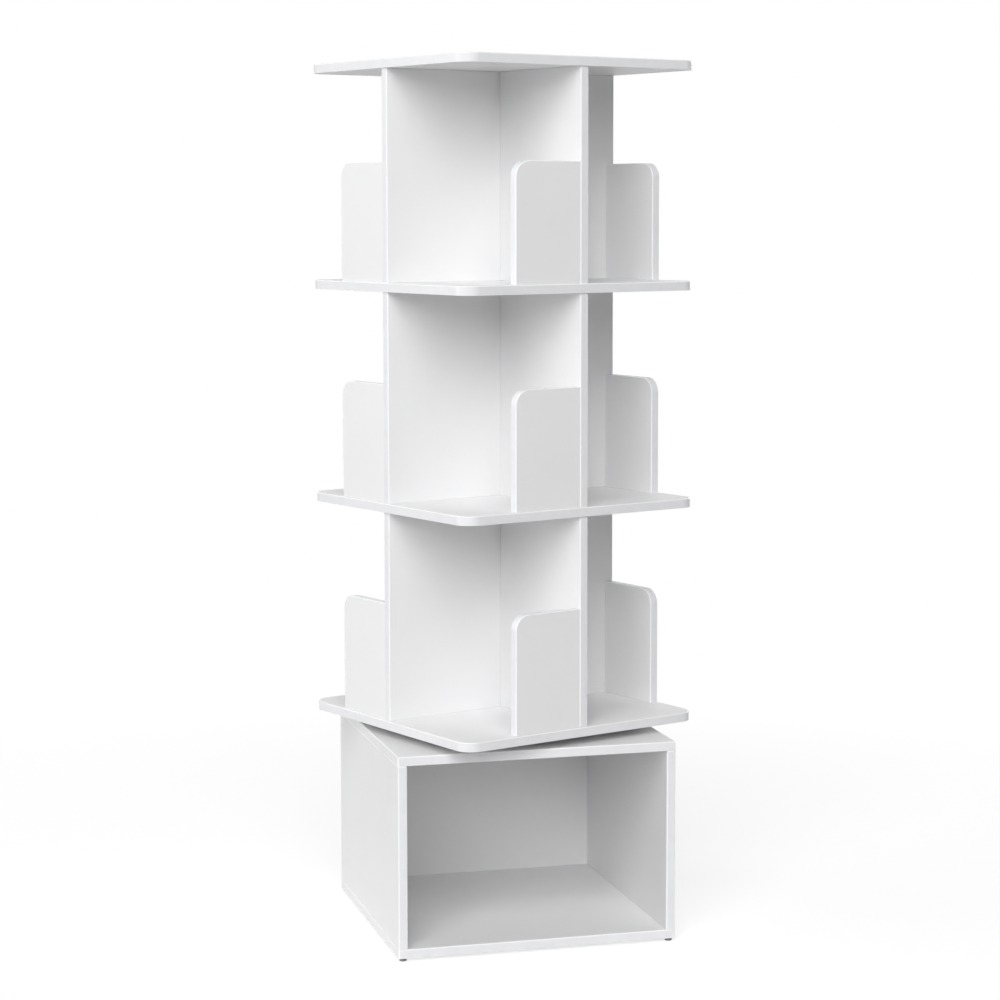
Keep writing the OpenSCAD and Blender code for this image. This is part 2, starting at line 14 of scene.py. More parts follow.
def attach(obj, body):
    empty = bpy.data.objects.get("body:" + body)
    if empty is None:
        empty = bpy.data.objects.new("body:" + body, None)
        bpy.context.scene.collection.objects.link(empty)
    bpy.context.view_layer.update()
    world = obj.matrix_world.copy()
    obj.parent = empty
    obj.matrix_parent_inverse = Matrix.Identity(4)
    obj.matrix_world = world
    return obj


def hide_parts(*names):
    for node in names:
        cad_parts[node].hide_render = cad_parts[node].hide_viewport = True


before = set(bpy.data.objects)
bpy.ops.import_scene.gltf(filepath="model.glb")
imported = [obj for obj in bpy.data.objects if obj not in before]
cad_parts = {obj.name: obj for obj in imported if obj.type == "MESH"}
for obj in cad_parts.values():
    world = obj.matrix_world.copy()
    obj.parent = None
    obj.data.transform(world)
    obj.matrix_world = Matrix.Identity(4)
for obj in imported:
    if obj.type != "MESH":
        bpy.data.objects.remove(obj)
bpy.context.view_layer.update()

LOG = logging.getLogger("bookcase")
MM = 0.001
UP_AXIS = Vector((0.0, 0.0, 1.0))

Colour = tuple[float, float, float]
Triple = tuple[float, float, float]
Profile = Sequence[tuple[float, float]]

# The middle range that most of a noise pattern keeps to
NOISE_LOW = 0.3
NOISE_HIGH = 0.7

# How near two points of a mesh are before they count as one
CAD_WELD = 0.01 * MM
SPIN_WELD = 0.005 * MM

# The cosine past which a face looks straight along a direction
STRAIGHT = 0.999

# The angle between two faces past which their edge is an arris
ARRIS_ANGLE = math.radians(60)


class Side(Enum):
    """A side of a board, as the outward direction in the board's own unturned frame."""

    LEFT = (-1, 0, 0)
    RIGHT = (1, 0, 0)
    FRONT = (0, -1, 0)
    BACK = (0, 1, 0)
    DOWN = (0, 0, -1)
    UP = (0, 0, 1)


# The joints of a board that stands between two others
UPRIGHT = frozenset({Side.UP, Side.DOWN})


class Outline(Enum):
    """How the corners of a board's broad face are cut."""

    SQUARE = "square"
    ALL_ROUND = "all corners round"
    ONE_ROUND = "upper free corner round"


class Arris(Enum):
    """Where an edge of a board lies, which settles how far it is rounded."""

    FREE = "open to the side or above"
    UNDER = "open below"
    JOINT = "at a joint"
    SEAT = "at a joint below"


# The facets across each kind's rounding
ROUND_STEPS = {Arris.FREE: 4, Arris.UNDER: 3, Arris.JOINT: 2, Arris.SEAT: 2}


class Coat(IntEnum):
    """A board's finishes, as the material index of the faces that wear them."""

    BAND = 0
    FOIL = 1
    RADIUS = 2


class Wing(Enum):
    """An arm of the cross of partitions, as its turn from the tower's own X axis in degrees."""

    RIGHT = 0
    BACK = 90
    LEFT = 180
    FRONT = 270


class Tier(Enum):
    """A storey of the tower, as the first word of its nodes' names."""

    LOWER = "lower"
    MIDDLE = "middle"
    UPPER = "upper"


class NodeSheet:
    """A new material's node tree, with short calls that add nodes and wire them."""

    def __init__(self, name: str) -> None:
        """Open the tree with one Principled shader wired to its output.

        Args:
            name: The material's name.
        """
        self.material: bpy.types.Material = bpy.data.materials.new(name)
        self.material.use_nodes = True
        self.nodes = self.material.node_tree.nodes
        self.links = self.material.node_tree.links
        self.nodes.clear()
        self.output = self.nodes.new("ShaderNodeOutputMaterial")
        self.shader = self.nodes.new("ShaderNodeBsdfPrincipled")
        self.links.new(self.shader.outputs["BSDF"], self.output.inputs["Surface"])
        self.place = self.nodes.new("ShaderNodeTexCoord").outputs["Object"]

    def wire(self, node: bpy.types.Node, sockets: dict[str, object]) -> None:
        """Link or set a node's inputs.

        Args:
            node: The node whose inputs are filled.
            sockets: Input names with the socket to link or the value to set.
        """
        for name, value in sockets.items():
            if isinstance(value, bpy.types.NodeSocket):
                self.links.new(value, node.inputs[name])
            else:
                node.inputs[name].default_value = value

    def put(self, kind: str, sockets: dict[str, object]) -> bpy.types.Node:
        """Add a node and fill its inputs.

        Args:
            kind: Blender's name of the node type.
            sockets: Input names with the socket to link or the value to set.

        Returns:
            The new node.
        """
        node = self.nodes.new(kind)
        self.wire(node, sockets)
        return node

    def stretched(self, factors: Triple) -> bpy.types.NodeSocket:
        """Scale the object coordinates along each axis.

        Args:
            factors: The scale along X, Y and Z.

        Returns:
            The stretched coordinates.
        """
        return self.put("ShaderNodeMapping", {"Vector": self.place, "Scale": factors}).outputs["Vector"]

    def noise(
        self, scale: float, detail: float = 2.0, place: bpy.types.NodeSocket | None = None
    ) -> bpy.types.NodeSocket:
        """Add a noise pattern on the object coordinates.

        Args:
            scale: Cells to the metre.
            detail: Octaves of finer noise.
            place: Other coordinates to read instead.

        Returns:
            The noise value, from 0 to 1.
        """
        inputs = {"Vector": place or self.place, "Scale": scale, "Detail": detail}
        return self.put("ShaderNodeTexNoise", inputs).outputs["Fac"]

    def between(self, value: bpy.types.NodeSocket, low: float, high: float) -> bpy.types.NodeSocket:
        """Spread the usual middle range of a noise over two numbers.

        Args:
            value: The noise value.
            low: The result where the noise is low.
            high: The result where the noise is high.

        Returns:
            The spread value.
        """
        inputs = {
            "Value": value, "From Min": NOISE_LOW, "From Max": NOISE_HIGH, "To Min": low, "To Max": high,
        }
        return self.put("ShaderNodeMapRange", inputs).outputs["Result"]

    def blend(self, value: bpy.types.NodeSocket, low: Colour, high: Colour) -> bpy.types.NodeSocket:
        """Spread the usual middle range of a noise over two colours.

        Args:
            value: The noise value.
            low: The colour where the noise is low.
            high: The colour where the noise is high.

        Returns:
            The blended colour.
        """
        ramp = self.put("ShaderNodeValToRGB", {"Fac": value})
        first, last = ramp.color_ramp.elements
        first.position, last.position = NOISE_LOW, NOISE_HIGH
        first.color, last.color = (*low, 1.0), (*high, 1.0)
        return ramp.outputs["Color"]

    def bump(
        self, height: bpy.types.NodeSocket, depth: float, below: bpy.types.NodeSocket | None = None
    ) -> bpy.types.NodeSocket:
        """Raise the surface by a pattern.

        Args:
            height: The pattern, from 0 to 1.
            depth: How far a full step of the pattern stands out, in metres.
            below: A bump that this one lies on.

        Returns:
            The bent normal.
        """
        inputs = {"Height": height, "Distance": depth, "Strength": 1.0}
        if below is not None:
            inputs["Normal"] = below
        return self.put("ShaderNodeBump", inputs).outputs["Normal"]


@dataclass(frozen=True)
class Finish:
    """A surface finish, whose subclass wires its nodes.

    Attributes:
        name: The material's name.
    """

    name: str

    def material(self) -> bpy.types.Material:
        """Give this finish's material, made on first use.

        Returns:
            The one material of this name.
        """
        found = bpy.data.materials.get(self.name)
        if found is None:
            sheet = NodeSheet(self.name)
            self.dress(sheet)
            found = sheet.material
        return found

    def dress(self, sheet: NodeSheet) -> None:
        """Wire the finish's nodes.

        Args:
            sheet: The new material's node tree.
        """
        raise NotImplementedError

    def onto(self, node: str) -> None:
        """Put this finish on a carried-over CAD node.

        Args:
            node: The CAD node's name.
        """
        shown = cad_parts[node]
        if not shown.material_slots:
            shown.data.materials.append(None)
        for place in shown.material_slots:
            place.material = self.material()
        LOG.info("CAD node %s wears %s", node, self.name)


@dataclass(frozen=True)
class CoatedFoil(Finish):
    """White foil pressed on chipboard, with faint clouding and a fine pearl grain.

    Attributes:
        light: The foil's colour where it is clearest.
        dim: The foil's colour where the board clouds it.
        smooth: The lowest roughness.
        rough: The highest roughness.
        cloud: Clouds to the metre.
        grain: Pearls of the grain to the metre.
        grain_depth: How deep the grain is pressed.
    """

    light: Colour = (0.872, 0.872, 0.876)
    dim: Colour = (0.850, 0.851, 0.857)
    smooth: float = 0.36
    rough: float = 0.48
    cloud: float = 7.0
    grain: float = 900.0
    grain_depth: float = 0.012 * MM

    def dress(self, sheet: NodeSheet) -> None:
        """Cloud the colour, vary the gloss and press in the grain.

        Args:
            sheet: The new material's node tree.
        """
        pearls = sheet.noise(self.grain, detail=3.0)
        clouds = sheet.noise(self.cloud, detail=4.0)
        sheet.wire(sheet.shader, {
            "Base Color": sheet.blend(clouds, self.dim, self.light),
            "Roughness": sheet.between(pearls, self.smooth, self.rough),
            "Normal": sheet.bump(pearls, self.grain_depth),
        })


@dataclass(frozen=True)
class EdgeBand(Finish):
    """Extruded white plastic band, smoother than the foil, with faint waves from the glue.

    Attributes:
        light: The band's colour where it is clearest.
        dim: The band's colour where the glue shows through.
        smooth: The lowest roughness.
        rough: The highest roughness.
        wave: Waves to the metre.
        wave_depth: How high the waves stand.
        scuff: Fine scuffs to the metre.
        scuff_depth: How deep the scuffs are.
        gloss: The specular level, where 0.5 is usual.
    """

    light: Colour = (0.846, 0.849, 0.861)
    dim: Colour = (0.822, 0.826, 0.840)
    smooth: float = 0.20
    rough: float = 0.30
    wave: float = 55.0
    wave_depth: float = 0.02 * MM
    scuff: float = 1300.0
    scuff_depth: float = 0.0015 * MM
    gloss: float = 0.3

    def dress(self, sheet: NodeSheet) -> None:
        """Lay fine scuffs over the slow glue waves.

        Args:
            sheet: The new material's node tree.
        """
        waves = sheet.noise(self.wave, detail=1.0)
        scuffs = sheet.noise(self.scuff)
        sheet.wire(sheet.shader, {
            "Base Color": sheet.blend(waves, self.dim, self.light),
            "Roughness": sheet.between(scuffs, self.smooth, self.rough),
            "Normal": sheet.bump(scuffs, self.scuff_depth, sheet.bump(waves, self.wave_depth)),
            "Specular IOR Level": self.gloss,
        })


@dataclass(frozen=True)
class PaintedHighlightRadius(Finish):
    """The band's rounding, formed and buffed by the scraper, and coloured whiter than the band as a
    painted highlight so that each edge shows a bright line.

    Attributes:
        light: The whitest colour of the painted highlight.
        dim: The painted highlight's colour between the scraper's marks.
        smooth: The lowest roughness.
        rough: The highest roughness.
        chatter: Scraper marks to the metre.
        chatter_depth: How deep the marks are.
    """

    light: Colour = (0.955, 0.955, 0.960)
    dim: Colour = (0.925, 0.926, 0.932)
    smooth: float = 0.16
    rough: float = 0.28
    chatter: float = 700.0
    chatter_depth: float = 0.003 * MM

    def dress(self, sheet: NodeSheet) -> None:
        """Colour the buffed rounding whiter than the band as a painted highlight, and mark it with fine
        chatter.

        Args:
            sheet: The new material's node tree.
        """
        marks = sheet.noise(self.chatter)
        sheet.wire(sheet.shader, {
            "Base Color": sheet.blend(marks, self.dim, self.light),
            "Roughness": sheet.between(marks, self.smooth, self.rough),
            "Normal": sheet.bump(marks, self.chatter_depth),
        })


@dataclass(frozen=True)
class MouldedPlastic(Finish):
    """Injection-moulded plastic with a fine spark-eroded grain.

    Attributes:
        light: The colour of the light mottles.
        dim: The colour of the dark mottles.
        smooth: The lowest roughness.
        rough: The highest roughness.
        mottle: Mottles of the colour to the metre.
        grain: Grains to the metre.
        grain_depth: How deep the grain is.
    """

    light: Colour
    dim: Colour
    smooth: float = 0.38
    rough: float = 0.55
    mottle: float = 300.0
    grain: float = 2400.0
    grain_depth: float = 0.02 * MM

    def dress(self, sheet: NodeSheet) -> None:
        """Mottle the colour, and grain the gloss and the surface.

        Args:
            sheet: The new material's node tree.
        """
        grains = sheet.noise(self.grain)
        mottles = sheet.noise(self.mottle, detail=3.0)
        sheet.wire(sheet.shader, {
            "Base Color": sheet.blend(mottles, self.dim, self.light),
            "Roughness": sheet.between(grains, self.smooth, self.rough),
            "Normal": sheet.bump(grains, self.grain_depth),
        })


@dataclass(frozen=True)
class ZincPlate(Finish):
    """Bright zinc on pressed steel, with a small spangle and rolling lines.

    Attributes:
        light: The colour of the bright crystals.
        dim: The colour of the dull crystals.
        smooth: The lowest roughness.
        rough: The highest roughness.
        spangle: Crystals to the metre.
        rolling: Changes along a rolling line to the metre.
        rolling_stretch: How many times finer the lines are across.
        rolling_depth: How deep the rolling lines are.
    """

    light: Colour = (0.74, 0.75, 0.76)
    dim: Colour = (0.58, 0.59, 0.61)
    smooth: float = 0.22
    rough: float = 0.40
    spangle: float = 260.0
    rolling: float = 40.0
    rolling_stretch: float = 60.0
    rolling_depth: float = 0.01 * MM

    def dress(self, sheet: NodeSheet) -> None:
        """Set crystals of different brightness side by side and draw lines across them.

        Args:
            sheet: The new material's node tree.
        """
        cells = sheet.put("ShaderNodeTexVoronoi", {"Vector": sheet.place, "Scale": self.spangle})
        across = sheet.stretched((self.rolling_stretch, 1.0, 1.0))
        lines = sheet.noise(self.rolling, detail=3.0, place=across)
        crystals = cells.outputs["Color"]
        sheet.wire(sheet.shader, {
            "Base Color": sheet.blend(crystals, self.dim, self.light),
            "Roughness": sheet.between(crystals, self.smooth, self.rough),
            "Normal": sheet.bump(lines, self.rolling_depth),
            "Metallic": 1.0,
        })


@dataclass(frozen=True)
class PolishedSteel(Finish):
    """Ground and polished ball steel with a trace of grease.

    Attributes:
        light: The colour of the clean steel.
        dim: The colour under the grease.
        smooth: The roughness of the clean steel.
        rough: The roughness under the grease.
        smear: Smears to the metre.
    """

    light: Colour = (0.72, 0.73, 0.75)
    dim: Colour = (0.60, 0.60, 0.58)
    smooth: float = 0.08
    rough: float = 0.22
    smear: float = 420.0

    def dress(self, sheet: NodeSheet) -> None:
        """Smear the polish unevenly.

        Args:
            sheet: The new material's node tree.
        """
        smears = sheet.noise(self.smear, detail=3.0)
        sheet.wire(sheet.shader, {
            "Base Color": sheet.blend(smears, self.light, self.dim),
            "Roughness": sheet.between(smears, self.smooth, self.rough),
            "Metallic": 1.0,
        })


@dataclass(frozen=True)
class TurnedBeech(Finish):
    """Turned beech with fine pores and darker year rings.

    Attributes:
        light: The early wood's colour.
        dim: The late wood's colour.
        smooth: The lowest roughness.
        rough: The highest roughness.
        rings: Year rings to the metre.
        ring_wander: How far the rings wander.
        pores: Pores to the metre.
        pore_depth: How deep the pores are.
    """

    light: Colour = (0.66, 0.46, 0.29)
    dim: Colour = (0.50, 0.32, 0.18)
    smooth: float = 0.5
    rough: float = 0.68
    rings: float = 160.0
    ring_wander: float = 6.0
    pores: float = 1800.0
    pore_depth: float = 0.05 * MM

    def dress(self, sheet: NodeSheet) -> None:
        """Draw the rings and open the pores.

        Args:
            sheet: The new material's node tree.
        """
        rings = sheet.put("ShaderNodeTexWave", {
            "Vector": sheet.place, "Scale": self.rings, "Distortion": self.ring_wander, "Detail": 3.0,
        }).outputs["Fac"]
        pores = sheet.noise(self.pores)
        sheet.wire(sheet.shader, {
            "Base Color": sheet.blend(rings, self.dim, self.light),
            "Roughness": sheet.between(pores, self.smooth, self.rough),
            "Normal": sheet.bump(pores, self.pore_depth),
        })


FOIL = CoatedFoil("coated_board_face")
BAND = EdgeBand("coated_board_band")
# The rounded edges are coloured whiter than the band, a painted highlight that shows them as bright lines.
RADIUS = PaintedHighlightRadius("coated_board_radius")
WHITE_CAP = MouldedPlastic("white_cover_cap", (0.85, 0.85, 0.855), (0.80, 0.80, 0.81))
GREY_GLIDE = MouldedPlastic("dark_grey_glide", (0.21, 0.21, 0.215), (0.15, 0.15, 0.155))
NYLON = MouldedPlastic("natural_nylon", (0.80, 0.78, 0.70), (0.72, 0.70, 0.62))
ZINC = ZincPlate("bright_zinc")
STEEL = PolishedSteel("bearing_steel")
BEECH = TurnedBeech("beech_dowel")

# The CAD nodes that are shown as they are, by the finish that they wear
CARRIED_OVER: dict[Finish, tuple[str, ...]] = {
    ZINC: (
        "base_cam_bolts", "base_cam_locks", "base_screws", "turntable_lower_plate",
        "turntable_upper_plate", "turntable_eyelet", "turntable_machine_screws",
        "turntable_wood_screws", "stop_screws", "double_cam_bolts", "single_cam_bolts",
        "partition_cam_locks",
    ),
    BEECH: ("base_dowels", "shelf_dowels", "cross_dowels", "stop_dowels"),
    NYLON: ("turntable_spacer", "ball_cage"),
    STEEL: ("bearing_balls",),
}


@dataclass
class Box:
    """A box in a frame that may be turned about the vertical.

    Attributes:
        low: The lowest corner.
        high: The highest corner.
    """

    low: Vector
    high: Vector

    @classmethod
    def around(cls, points: list[Vector]) -> "Box":
        """Fit a box round some points.

        Args:
            points: The points to hold.

        Returns:
            The tightest box.
        """
        low = Vector([min(p[i] for p in points) for i in range(3)])
        high = Vector([max(p[i] for p in points) for i in range(3)])
        return cls(low, high)

    @property
    def middle(self) -> Vector:
        """The box's centre."""
        return (self.low + self.high) / 2

    @property
    def size(self) -> Vector:
        """The box's three lengths."""
        return self.high - self.low

    @property
    def thin(self) -> int:
        """The axis along which the box is thinnest."""
        return min(range(3), key=lambda axis: self.size[axis])


def turned(angle: float) -> Matrix:
    """Give the turn about the vertical.

    Args:
        angle: The turn in degrees.

    Returns:
        The rotation matrix.
    """
    return Matrix.Rotation(math.radians(angle), 4, "Z")


def node_box(node: str, turn: float = 0.0) -> Box:
    """Measure a CAD node in a frame turned about the vertical.

    Args:
        node: The CAD node's name.
        turn: The frame's turn in degrees.

    Returns:
        The node's box in that frame.
    """
    back = turned(-turn)
    return Box.around([back @ v.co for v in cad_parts[node].data.vertices])


def node_islands(node: str, turn: float = 0.0) -> list[Box]:
    """Measure each separate solid of a CAD node in a frame turned about the vertical.

    Args:
        node: The CAD node's name.
        turn: The frame's turn in degrees.

    Returns:
        The solids' boxes in that frame.
    """
    back = turned(-turn)
    copy = bmesh.new()
    copy.from_mesh(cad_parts[node].data)
    bmesh.ops.remove_doubles(copy, verts=copy.verts, dist=CAD_WELD)
    boxes: list[Box] = []
    waiting = set(copy.verts)
    while waiting:
        reached = {waiting.pop()}
        edge_of_search = list(reached)
        while edge_of_search:
            for edge in edge_of_search.pop().link_edges:
                for vert in edge.verts:
                    if vert in waiting:
                        waiting.discard(vert)
                        reached.add(vert)
                        edge_of_search.append(vert)
        boxes.append(Box.around([back @ v.co for v in reached]))
    copy.free()
    return boxes


def hang(name: str, shape: bmesh.types.BMesh, finishes: list[Finish], body: str) -> bpy.types.Object:
    """Make a finished object from a shape and let it ride on a CAD body.

    Args:
        name: The piece's name.
        shape: The finished bmesh, which is freed.
        finishes: The finishes, in the order of the faces' material indices.
        body: The CAD body that carries the piece.

    Returns:
        The new object.
    """
    mesh = bpy.data.meshes.new(name)
    for face in shape.faces:
        face.smooth = True
    shape.to_mesh(mesh)
    shape.free()
    for finish in finishes:
        mesh.materials.append(finish.material())
    piece = bpy.data.objects.new(name, mesh)
    bpy.context.scene.collection.objects.link(piece)
    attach(piece, body)
    LOG.info("%s rides on %s with %d faces", name, body, len(mesh.polygons))
    return piece


def even_normals(piece: bpy.types.Object) -> None:
    """Keep broad faces flat and their rounded edges smooth, by weighting normals by area."""
    weight = piece.modifiers.new("even_normals", "WEIGHTED_NORMAL")
    weight.keep_sharp = True


def spun(shape: bmesh.types.BMesh, profile: Profile, steps: int, place: Matrix) -> None:
    """Turn a profile round its axis and add it to a shape.

    Args:
        shape: The bmesh that takes the turned part.
        profile: Radius and height pairs in metres, from axis to axis.
        steps: Facets round the axis.
        place: Where the turned part's axis and foot go.
    """
    part = bmesh.new()
    verts = [part.verts.new((radius, 0.0, height)) for radius, height in profile]
    edges = [part.edges.new(pair) for pair in zip(verts, verts[1:])]
    bmesh.ops.spin(
        part, geom=verts + edges, cent=(0, 0, 0), axis=UP_AXIS, dvec=(0, 0, 0),
        angle=2 * math.pi, steps=steps, use_merge=True, use_duplicate=False,
    )
    bmesh.ops.remove_doubles(part, verts=part.verts, dist=SPIN_WELD)
    bmesh.ops.recalc_face_normals(part, faces=part.faces)
    bmesh.ops.transform(part, matrix=place, verts=part.verts)
    mesh = bpy.data.meshes.new("turned_part")
    part.to_mesh(mesh)
    part.free()
    shape.from_mesh(mesh)
    bpy.data.meshes.remove(mesh)


@dataclass
class Board:
    """One coated board with bands round its edges, which stands for a CAD node.

    Attributes:
        node: The CAD node that it stands for.
        body: The CAD body that carries it.
        turn: The turn of its own frame about the vertical, in degrees.
        outline: How its corners are cut.
        corner: The radius of a cut corner.
        joints: The sides that butt against other boards.
        screws: A CAD node whose heads are sunk in the underside.
        free_round: The rounding of a free edge.
        under_round: The rounding of a free edge that faces down.
        joint_round: The rounding of an edge at a joint.
        seat_round: The rounding of an edge that the board stands on.
        corner_steps: Facets round a cut corner.
        band: The width of band that shows beside the rounding.
        seam: The width and depth of the seam between band and foil.
        sink: The radius and height of a countersink, from axis to axis, in millimetres from the underside.
        sink_facets: Facets round a countersink.
        sink_reach: How near the underside a screw's head lies.
        box: The CAD node's box in the board's own frame.
    """

    node: str
    body: str
    turn: float = 0.0
    outline: Outline = Outline.SQUARE
    corner: float = 0.0
    joints: frozenset[Side] = frozenset()
    screws: str = ""
    free_round: float = 1.5 * MM
    under_round: float = 0.4 * MM
    joint_round: float = 0.5 * MM
    seat_round: float = 0.12 * MM
    corner_steps: int = 14
    band: float = 0.5 * MM
    seam: float = 0.12 * MM
    sink: Profile = ((0.0, -0.4), (5.45, -0.4), (5.05, 0.3), (2.3, 3.1), (0.0, 3.1))
    sink_facets: int = 24
    sink_reach: float = 2 * MM
    box: Box = field(init=False)

    def __post_init__(self) -> None:
        """Measure the CAD node."""
        self.box = node_box(self.node, self.turn)

    def build(self) -> bpy.types.Object:
        """Model the board and hang it in its place.

        Returns:
            The board's object.
        """
        shape = self.block()
        self.cut_corners(shape)
        self.round_edges(shape)
        self.lay_foil(shape)
        bmesh.ops.transform(shape, matrix=turned(self.turn), verts=shape.verts)
        piece = hang(f"{self.node}_board", shape, [BAND, FOIL, RADIUS], self.body)
        if self.screws:
            self.sink_screws(piece)
        even_normals(piece)
        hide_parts(self.node)
        return piece

    def block(self) -> bmesh.types.BMesh:
        """Saw the plain block.

        Returns:
            A new bmesh of the board's full size, in its own frame.
        """
        shape = bmesh.new()
        bmesh.ops.create_cube(shape, size=1.0)
        bmesh.ops.scale(shape, vec=self.box.size, verts=shape.verts)
        bmesh.ops.translate(shape, vec=self.box.middle, verts=shape.verts)
        return shape

    def cut_corners(self, shape: bmesh.types.BMesh) -> None:
        """Round the corners that the outline asks for.

        Args:
            shape: The plain block.
        """
        if self.outline is Outline.SQUARE:
            return
        thin = self.box.thin
        half = self.box.size[thin] / 2
        across = [edge for edge in shape.edges if abs((edge.verts[0].co - edge.verts[1].co)[thin]) > half]
        if self.outline is Outline.ONE_ROUND:
            middle = self.box.middle
            across = [
                edge for edge in across
                if all(vert.co.z > middle.z and vert.co.y < middle.y for vert in edge.verts)
            ]
        bmesh.ops.bevel(
            shape, geom=across, offset=self.corner, offset_type="OFFSET", affect="EDGES",
            segments=self.corner_steps, profile=0.5, material=-1,
        )

    def at_joint(self, face: bmesh.types.BMFace) -> bool:
        """Tell whether a face butts against another board.

        Args:
            face: The face to judge.

        Returns:
            True if the face lies on a side that is a joint.
        """
        return any(face.normal.dot(Vector(side.value)) > STRAIGHT for side in self.joints)

    def arris(self, edge: bmesh.types.BMEdge) -> Arris | None:
        """Tell where an edge lies on the board.

        Args:
            edge: The edge to judge.

        Returns:
            The edge's kind, or None if it isn't an edge to round.
        """
        below = any(face.normal.z < -STRAIGHT for face in edge.link_faces)
        if any(self.at_joint(face) for face in edge.link_faces):
            return Arris.SEAT if below else Arris.JOINT
        if edge.calc_face_angle(0.0) > ARRIS_ANGLE:
            return Arris.UNDER if below else Arris.FREE
        return None

    def round_edges(self, shape: bmesh.types.BMesh) -> None:
        """Round the open edges most and break the edges at joints.

        Args:
            shape: The block with its corners cut.
        """
        radii = {
            Arris.FREE: self.free_round, Arris.UNDER: self.under_round,
            Arris.JOINT: self.joint_round, Arris.SEAT: self.seat_round,
        }
        for kind, radius in radii.items():
            shape.normal_update()
            edges = [edge for edge in shape.edges if self.arris(edge) is kind]
            if edges:
                self.roll_over(shape, edges, radius, ROUND_STEPS[kind])

    @staticmethod
    def roll_over(
        shape: bmesh.types.BMesh, edges: list[bmesh.types.BMEdge], radius: float, steps: int
    ) -> None:
        """Round some edges and mark the rounding for its own finish, whose whiter colour is a painted
        highlight.

        Args:
            shape: The board's shape.
            edges: The edges to round.
            radius: The rounding's radius.
            steps: Facets across the rounding.
        """
        made = bmesh.ops.bevel(
            shape, geom=edges, offset=radius, offset_type="OFFSET", affect="EDGES",
            segments=steps, profile=0.5, material=-1, clamp_overlap=True,
        )
        for face in made["faces"]:
            face.material_index = Coat.RADIUS

    def lay_foil(self, shape: bmesh.types.BMesh) -> None:
        """Part the foil of the two broad faces from the bands by a fine seam.

        Args:
            shape: The block with its edges rounded.
        """
        shape.normal_update()
        broad = sorted(shape.faces, key=lambda face: face.calc_area())[-2:]
        for face in broad:
            bmesh.ops.inset_region(
                shape, faces=[face], thickness=self.band, depth=0.0, use_even_offset=True,
                use_boundary=True,
            )
            step = bmesh.ops.inset_region(
                shape, faces=[face], thickness=self.seam, depth=-self.seam, use_even_offset=True,
                use_boundary=True,
            )
            for edge in {edge for strip in step["faces"] for edge in strip.edges}:
                edge.smooth = False
            face.material_index = Coat.FOIL

    def sink_screws(self, piece: bpy.types.Object) -> None:
        """Cut the countersinks for the screws in the underside.

        Args:
            piece: The board's object.
        """
        drill = bmesh.new()
        under = self.box.low.z
        profile = [(radius * MM, height * MM) for radius, height in self.sink]
        for screw in node_islands(self.screws):
            if abs(screw.low.z - under) <= self.sink_reach:
                spot = Matrix.Translation((screw.middle.x, screw.middle.y, under))
                spun(drill, profile, self.sink_facets, spot)
        mesh = bpy.data.meshes.new("countersinks")
        drill.to_mesh(mesh)
        drill.free()
        cutter = bpy.data.objects.new("countersinks", mesh)
        bpy.context.scene.collection.objects.link(cutter)
        cut = piece.modifiers.new("countersinks", "BOOLEAN")
        cut.operation = "DIFFERENCE"
        cut.solver = "EXACT"
        cut.object = cutter
        made = bpy.data.meshes.new_from_object(
            piece.evaluated_get(bpy.context.evaluated_depsgraph_get())
        )
        piece.modifiers.remove(cut)
        piece.data = made
        bpy.data.objects.remove(cutter)


@dataclass
class CoverCaps:
    """Pressed-in caps over the cam locks, one domed disc to each.

    Attributes:
        node: The CAD node that they stand for.
        body: The CAD body that carries them.
        turn: The turn of their boards about the vertical, in degrees.
        stand: How far a cap stands out of its board.
        stem: The radius of the stem that holds a cap in its lock.
        dome: The rim and its dish from the board outwards, as shares of the radius and of the stand.
        facets: Facets round a cap.
    """

    node: str
    body: str
    turn: float = 0.0
    stand: float = 1.2 * MM
    stem: float = 2.0 * MM
    dome: Profile = (
        (1.0, 0.0), (1.0, 0.5), (0.98, 0.74), (0.94, 0.92), (0.88, 1.0), (0.70, 1.0), (0.66, 0.9),
        (0.60, 0.8), (0.0, 0.8),
    )
    facets: int = 32

    def build(self) -> bpy.types.Object:
        """Turn each cap and set it on its board.

        Returns:
            The caps' object.
        """
        shape = bmesh.new()
        for cap in node_islands(self.node, self.turn):
            out = Vector((0.0, 0.0, 0.0))
            out[cap.thin] = math.copysign(1.0, cap.middle[cap.thin])
            radius = max(cap.size) / 2
            length = min(cap.size)
            rim = length - self.stand
            foot = cap.middle - out * length / 2
            place = Matrix.Translation(foot) @ UP_AXIS.rotation_difference(out).to_matrix().to_4x4()
            profile = [(0.0, 0.0), (self.stem, 0.0), (self.stem, rim)]
            profile += [(radius * across, rim + self.stand * rise) for across, rise in self.dome]
            spun(shape, profile, self.facets, place)
        bmesh.ops.transform(shape, matrix=turned(self.turn), verts=shape.verts)
        piece = hang(f"{self.node}_domed", shape, [WHITE_CAP], self.body)
        even_normals(piece)
        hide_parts(self.node)
        return piece


